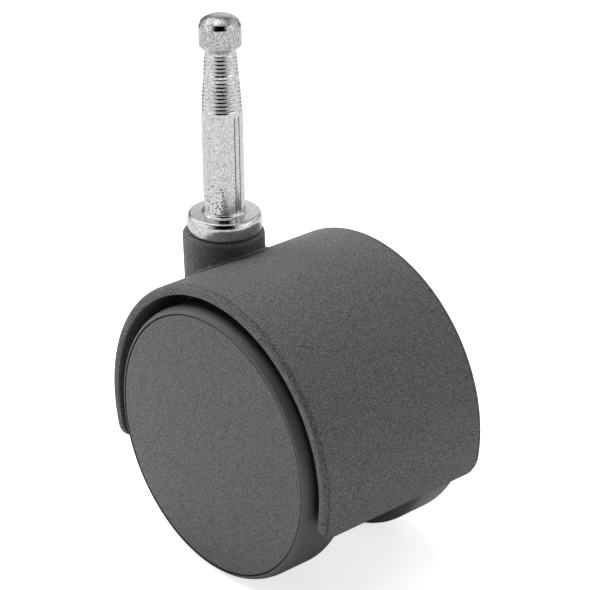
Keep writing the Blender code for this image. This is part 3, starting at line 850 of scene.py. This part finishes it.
def make_floor():
    """A plain pale floor under the wheels. Its underside lets light and view through."""
    shape = bmesh.new()
    bmesh.ops.create_grid(shape, x_segments=1, y_segments=1, size=FLOOR_SIZE / 2)
    floor = keep("floor", shape, Matrix.Translation((0, 0, AXLE.z - CROWN_RADIUS - FLOOR_DROP)))
    graph = Graph("floor_card")
    graph.shader.inputs["Base Color"].default_value = FLOOR_COLOUR
    graph.shader.inputs["Roughness"].default_value = FLOOR_ROUGHNESS
    graph.shader.inputs["Specular IOR Level"].default_value = FLOOR_SPECULAR
    glow = graph.nodes.new("ShaderNodeEmission")
    rays = graph.nodes.new("ShaderNodeLightPath")
    graph.link(graph.math("MULTIPLY", rays.outputs["Is Camera Ray"], FLOOR_GLOW), glow.inputs["Strength"])
    lit = graph.nodes.new("ShaderNodeAddShader")
    graph.link(graph.shader.outputs[0], lit.inputs[0])
    graph.link(glow.outputs[0], lit.inputs[1])
    clear = graph.nodes.new("ShaderNodeBsdfTransparent")
    chooser = graph.nodes.new("ShaderNodeMixShader")
    facing = graph.nodes.new("ShaderNodeNewGeometry")
    graph.link(facing.outputs["Backfacing"], chooser.inputs[0])
    graph.link(lit.outputs[0], chooser.inputs[1])
    graph.link(clear.outputs[0], chooser.inputs[2])
    graph.link(chooser.outputs[0], graph.nodes["Material Output"].inputs["Surface"])
    floor.data.materials.append(graph.material)


def direction(azimuth_deg, elevation_deg):
    """The way out from the object towards a place round it; azimuth 0 is -Y and 90 is +X."""
    azimuth = math.radians(azimuth_deg)
    elevation = math.radians(elevation_deg)
    flat = math.cos(elevation)
    return Vector((math.sin(azimuth) * flat, -math.cos(azimuth) * flat, math.sin(elevation)))


def tent_panel(nodes, links, place, panel):
    """One soft panel of the tent, as a brightness that falls off round its middle."""
    azimuth_deg, elevation_deg, level = panel
    dot = nodes.new("ShaderNodeVectorMath")
    dot.operation = "DOT_PRODUCT"
    dot.inputs[1].default_value = direction(CAMERA_AZIMUTH_DEG + azimuth_deg, elevation_deg)
    links.new(place, dot.inputs[0])
    ramp = nodes.new("ShaderNodeMapRange")
    ramp.interpolation_type = "SMOOTHSTEP"
    ramp.inputs["From Min"].default_value = math.cos(math.radians(TENT_OUTER_DEG))
    ramp.inputs["From Max"].default_value = math.cos(math.radians(TENT_INNER_DEG))
    ramp.inputs["To Max"].default_value = level
    links.new(dot.outputs["Value"], ramp.inputs["Value"])
    return ramp.outputs["Result"]


def tent_panels(nodes, links, place, panels):
    """The sum of several panels."""
    total = tent_panel(nodes, links, place, panels[0])
    for panel in panels[1:]:
        add = nodes.new("ShaderNodeMath")
        links.new(total, add.inputs[0])
        links.new(tent_panel(nodes, links, place, panel), add.inputs[1])
        total = add.outputs["Value"]
    return total


def make_tent():
    """A white light tent: soft panels behind, beside and above the object, and an open front."""
    world = bpy.data.worlds.new("light_tent")
    bpy.context.scene.world = world
    world.use_nodes = True
    nodes, links = world.node_tree.nodes, world.node_tree.links
    nodes.clear()
    place = nodes.new("ShaderNodeTexCoord").outputs["Generated"]
    rays = nodes.new("ShaderNodeLightPath")
    sheen = nodes.new("ShaderNodeMath")
    sheen.operation = "MULTIPLY"
    links.new(rays.outputs["Is Glossy Ray"], sheen.inputs[0])
    links.new(tent_panels(nodes, links, place, SHEEN_PANELS), sheen.inputs[1])
    total = nodes.new("ShaderNodeMath")
    links.new(tent_panels(nodes, links, place, TENT_PANELS), total.inputs[0])
    links.new(sheen.outputs["Value"], total.inputs[1])
    glow = nodes.new("ShaderNodeBackground")
    links.new(total.outputs["Value"], glow.inputs["Strength"])
    plain = nodes.new("ShaderNodeBackground")
    plain.inputs["Color"].default_value = BACKGROUND
    chooser = nodes.new("ShaderNodeMixShader")
    links.new(rays.outputs["Is Camera Ray"], chooser.inputs[0])
    links.new(glow.outputs[0], chooser.inputs[1])
    links.new(plain.outputs[0], chooser.inputs[2])
    links.new(chooser.outputs[0], nodes.new("ShaderNodeOutputWorld").inputs["Surface"])


def make_lamps():
    """Soft lamps that light the dull faces without showing in the bright ones."""
    for number, (azimuth_deg, elevation_deg, strength) in enumerate(SOFT_LAMPS):
        data = bpy.data.lights.new("soft_lamp_%d" % number, "SUN")
        data.energy = strength
        data.angle = math.radians(LAMP_ANGLE_DEG)
        lamp = bpy.data.objects.new(data.name, data)
        bpy.context.scene.collection.objects.link(lamp)
        out = direction(CAMERA_AZIMUTH_DEG + azimuth_deg, elevation_deg)
        turn = out.to_track_quat("Z", "Y").to_matrix().to_4x4()
        lamp.matrix_world = Matrix.Translation(out * LAMP_DISTANCE) @ turn
        lamp.visible_glossy = False


def make_camera():
    """The camera in front, to the right and above."""
    data = bpy.data.cameras.new("camera")
    data.lens = CAMERA_LENS
    data.sensor_width = CAMERA_SENSOR
    camera = bpy.data.objects.new("camera", data)
    bpy.context.scene.collection.objects.link(camera)
    back = direction(CAMERA_AZIMUTH_DEG, CAMERA_ELEVATION_DEG)
    turn = back.to_track_quat("Z", "Y").to_matrix().to_4x4()
    roll = Matrix.Rotation(math.radians(CAMERA_ROLL_DEG), 4, "Z")
    camera.matrix_world = Matrix.Translation(CAMERA_AIM + back * CAMERA_DISTANCE) @ turn @ roll
    bpy.context.scene.camera = camera


# Assembly

def place(item, body, material, slot, *nodes):
    """Gives a piece its body and its finish, and hides the CAD nodes it takes the place of."""
    item.data.materials.clear()
    item.data.materials.append(material)
    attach(item, body)
    if nodes:
        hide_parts(*nodes)


def dress(node, material):
    """Gives a CAD node that stays its finish."""
    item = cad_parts[node]
    item.data.materials.clear()
    item.data.materials.append(material)


def main():
    """Builds the pieces, the finishes and the studio."""
    make_camera()
    plating = zinc("zinc_plate")
    hood_skin = nylon("hood_nylon", **HOOD_NYLON)
    cap_skin = nylon("cap_nylon", **CAP_NYLON)
    tread_skin = nylon("tread_polymer", **TREAD_POLYMER)
    core_skin = nylon("wheel_nylon", **WHEEL_NYLON)
    bush = nylon("bush_plastic", **BUSH_PLASTIC)
    spring = steel("spring_steel", **SPRING_STEEL)
    rod = steel("axle_steel", **AXLE_STEEL)
    place(make_stem(), "stem", plating, "zinc_steel", "stem")
    place(make_shell(), "hood", hood_skin, "hood_nylon", "hood")
    place(make_boss(), "hood", hood_skin, "hood_nylon", "hood")
    place(make_web(), "hood", hood_skin, "hood_nylon", "hood")
    dress("stem_clip", spring)
    dress("stem_sleeve", bush)
    dress("swivel_washer", spring)
    dress("axle", rod)
    for side in SIDES:
        wheel = side + "_wheel"
        place(make_tread(side), wheel, tread_skin, "tread_polymer", wheel + "_tread")
        place(make_cap(side), wheel, cap_skin, "cap_nylon", wheel + "_cap")
        dress(wheel + "_core", core_skin)
        dress(side + "_hub_washer", bush)
        dress(side + "_push_nut", spring)
    make_floor()
    make_tent()
    make_lamps()
    bpy.context.scene.view_settings.view_transform = "Standard"


main()
